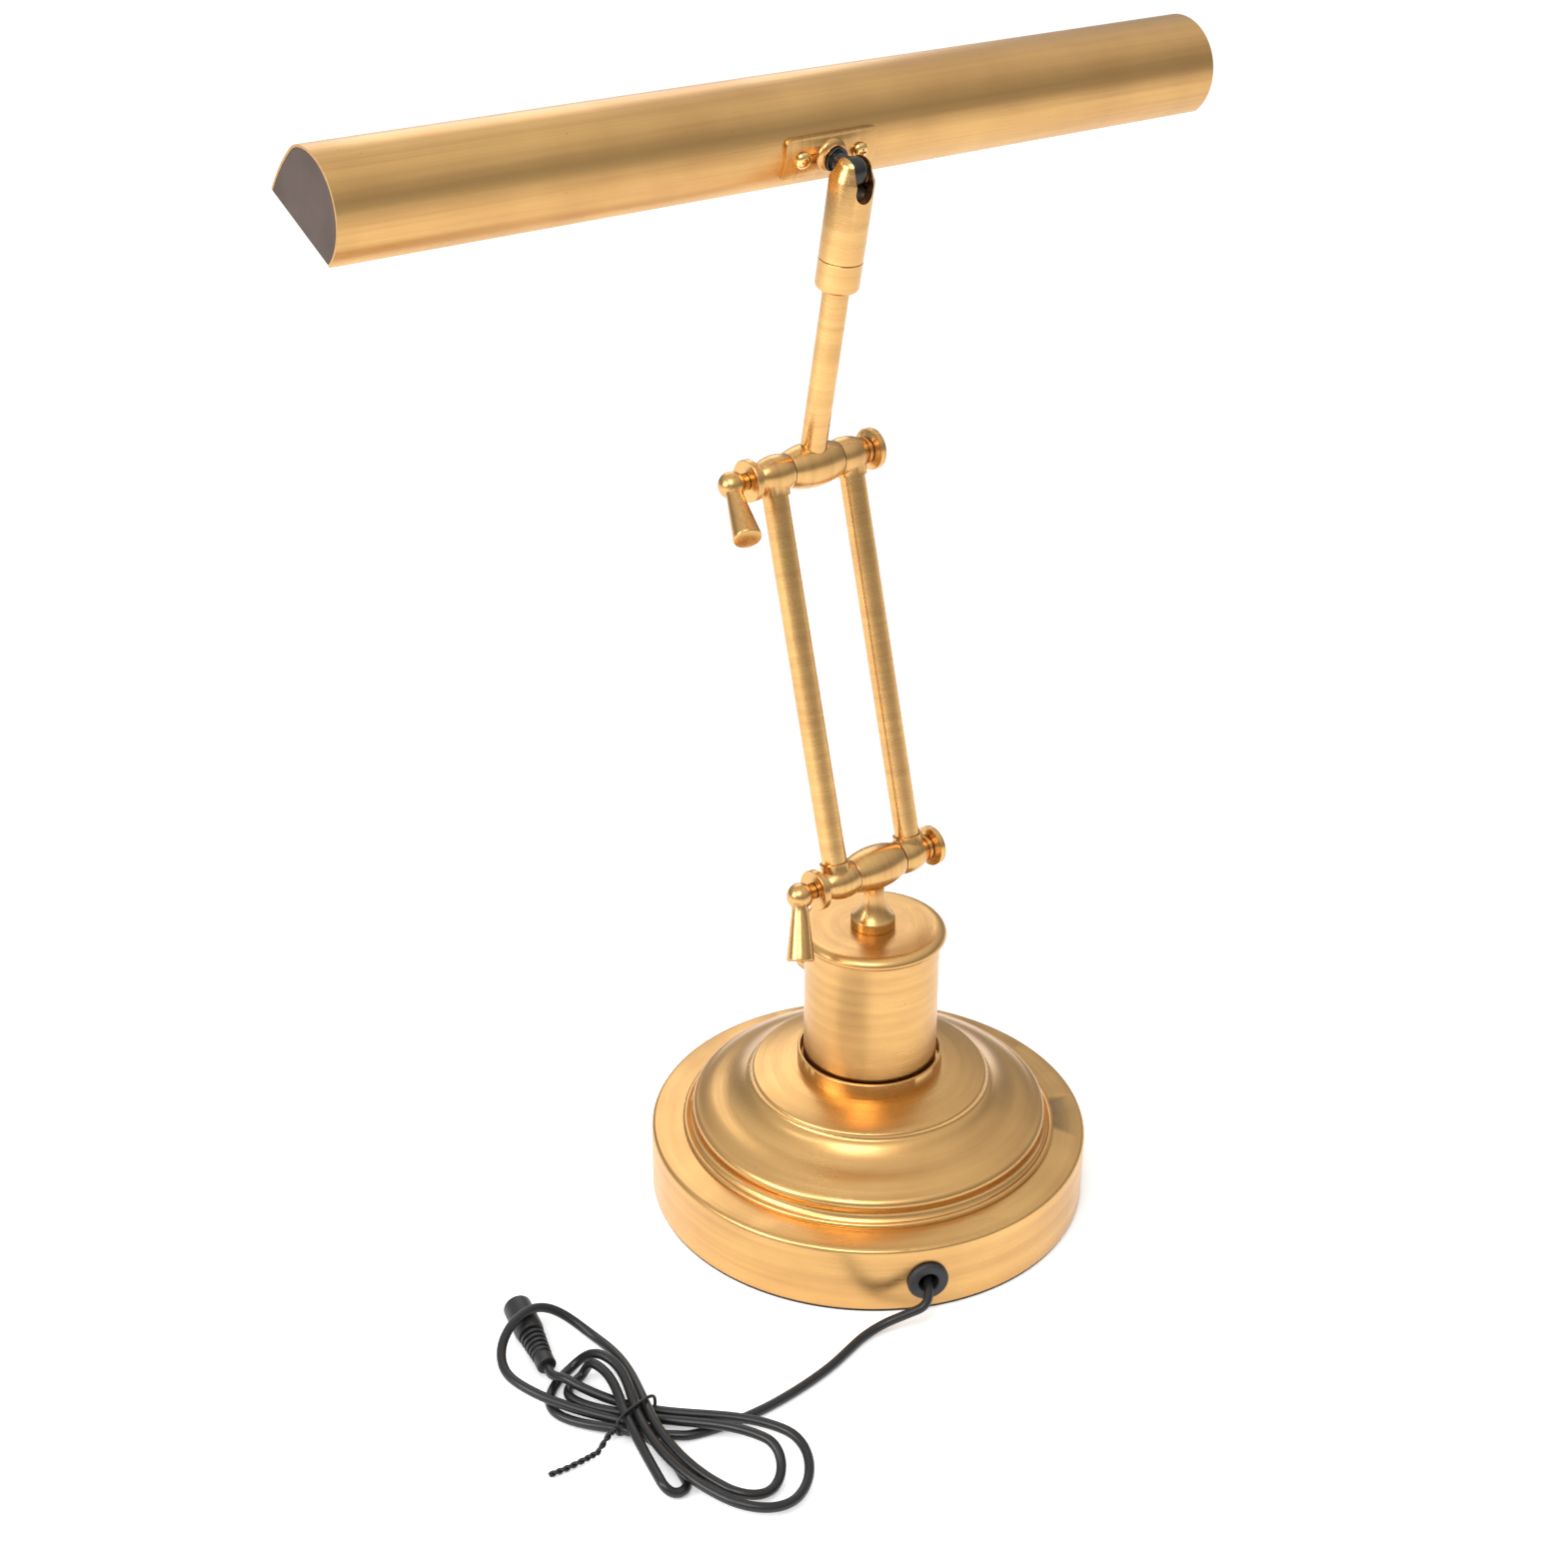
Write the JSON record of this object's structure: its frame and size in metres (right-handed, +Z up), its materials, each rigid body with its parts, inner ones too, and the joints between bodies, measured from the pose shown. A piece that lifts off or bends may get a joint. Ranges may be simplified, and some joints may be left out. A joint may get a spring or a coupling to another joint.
{
  "type": "piano lamp",
  "caption": "Desk lamp for a piano: weighted round base, post, hinged double-rod arm with clamp levers, ball knuckle and a long half-round shade.",
  "frame": {"origin": "centre of the underside of the base, on the table", "axes": "+Z up, +X towards the clamp levers along the shade, +Y towards the side where the lead leaves"},
  "size_m": [0.3959, 0.2238, 0.4419],
  "materials": {
    "antique_brass": "brushed satin, darkened",
    "bright_brass": "polished",
    "dark_steel": "black, semi-gloss",
    "plain_steel": "satin",
    "cast_iron": "rough",
    "felt_pad": "matte",
    "black_rubber": "semi-gloss",
    "black_plastic": "satin",
    "brown_plastic": "satin",
    "board_white": "satin",
    "carrier_aluminium": "satin",
    "led_yellow": "gloss",
    "milk_plastic": "frosted"
  },
  "bodies": {
    "base": {"foot_pad": "felt_pad", "base_weight": "cast_iron", "pipe_washer": "plain_steel", "pipe_nut": "plain_steel", "base_shell": "antique_brass", "cord_grommet": "black_rubber", "post_collar": "antique_brass", "post_tube": "antique_brass", "post_cap": "antique_brass", "centre_pipe": "plain_steel", "inner_lead": "black_rubber", "post_wire": "black_rubber", "dimmer_housing": "black_plastic", "dimmer_board": "board_white", "dimmer_nut": "plain_steel", "lower_hub": "antique_brass", "lead_cord": "black_rubber", "lead_hank": "black_rubber", "cord_tie": "black_rubber", "jack_housing": "black_plastic", "jack_sleeve": "bright_brass", "jack_pin": "plain_steel"},
    "dimmer": {"dimmer_shaft": "plain_steel", "dimmer_knob": "antique_brass"},
    "lower_lever": {"lower_pivot_bolt": "plain_steel", "lower_clamp_lever": "antique_brass"},
    "lower_arm": {"lower_knuckle_lever_side": "antique_brass", "lower_knuckle_far_side": "antique_brass", "lower_lever_seat": "antique_brass", "lower_pivot_nut": "antique_brass", "upper_knuckle_lever_side": "antique_brass", "upper_knuckle_far_side": "antique_brass", "upper_lever_seat": "antique_brass", "upper_pivot_nut": "antique_brass", "rod_lever_side": "antique_brass", "rod_far_side": "antique_brass", "rod_wire": "black_rubber"},
    "upper_lever": {"upper_pivot_bolt": "plain_steel", "upper_clamp_lever": "antique_brass"},
    "upper_arm": {"upper_hub": "antique_brass", "upper_stem": "antique_brass", "stem_collar": "antique_brass", "stem_wire": "black_rubber"},
    "knuckle": {"knuckle_socket": "antique_brass", "friction_cup": "black_plastic", "disc_springs": "plain_steel"},
    "knuckle_ball": {"swivel_ball": "dark_steel", "neck_nut": "plain_steel"},
    "shade": {"mount_plate": "antique_brass", "plate_screws": "bright_brass", "shade_shell": "antique_brass", "end_cap_lever_side": "brown_plastic", "end_cap_far_side": "brown_plastic", "led_carrier": "carrier_aluminium", "led_board": "board_white", "led_chips": "led_yellow", "diffuser": "milk_plastic"}
  },
  "joints": [
    {"name": "lower_arm_swing", "type": "hinge", "parent": "base", "child": "lower_arm", "pos_m": [0, 0, 0.1467], "axis": [1, 0, 0], "range_deg": [-75, 60]},
    {"name": "lower_lever_turn", "type": "hinge", "parent": "lower_arm", "child": "lower_lever", "pos_m": [0, 0, 0.1467], "axis": [1, 0, 0], "range_deg": [-90, 90]},
    {"name": "elbow_bend", "type": "hinge", "parent": "lower_arm", "child": "upper_arm", "pos_m": [0, -0.04201, 0.30026], "axis": [1, 0, 0], "range_deg": [-90, 75]},
    {"name": "upper_lever_turn", "type": "hinge", "parent": "lower_arm", "child": "upper_lever", "pos_m": [0, -0.04201, 0.30026], "axis": [1, 0, 0], "range_deg": [-90, 90]},
    {"name": "head_swivel", "type": "hinge", "parent": "upper_arm", "child": "knuckle", "pos_m": [0, -0.02629, 0.38186], "axis": [0, 0.1891, 0.982], "range_deg": [-170, 170]},
    {"name": "shade_tilt", "type": "hinge", "parent": "knuckle", "child": "knuckle_ball", "pos_m": [0, -0.02028, 0.41308], "axis": [1, 0, 0], "range_deg": [-100, 20]},
    {"name": "shade_roll", "type": "hinge", "parent": "knuckle_ball", "child": "shade", "pos_m": [0, -0.02028, 0.41308], "axis": [0, -0.9641, 0.2656], "range_deg": [-45, 45]},
    {"name": "dimmer_turn", "type": "hinge", "parent": "base", "child": "dimmer", "pos_m": [0, -0.03, 0.09], "axis": [0, -1, 0], "range_deg": [0, 300]}
  ]
}
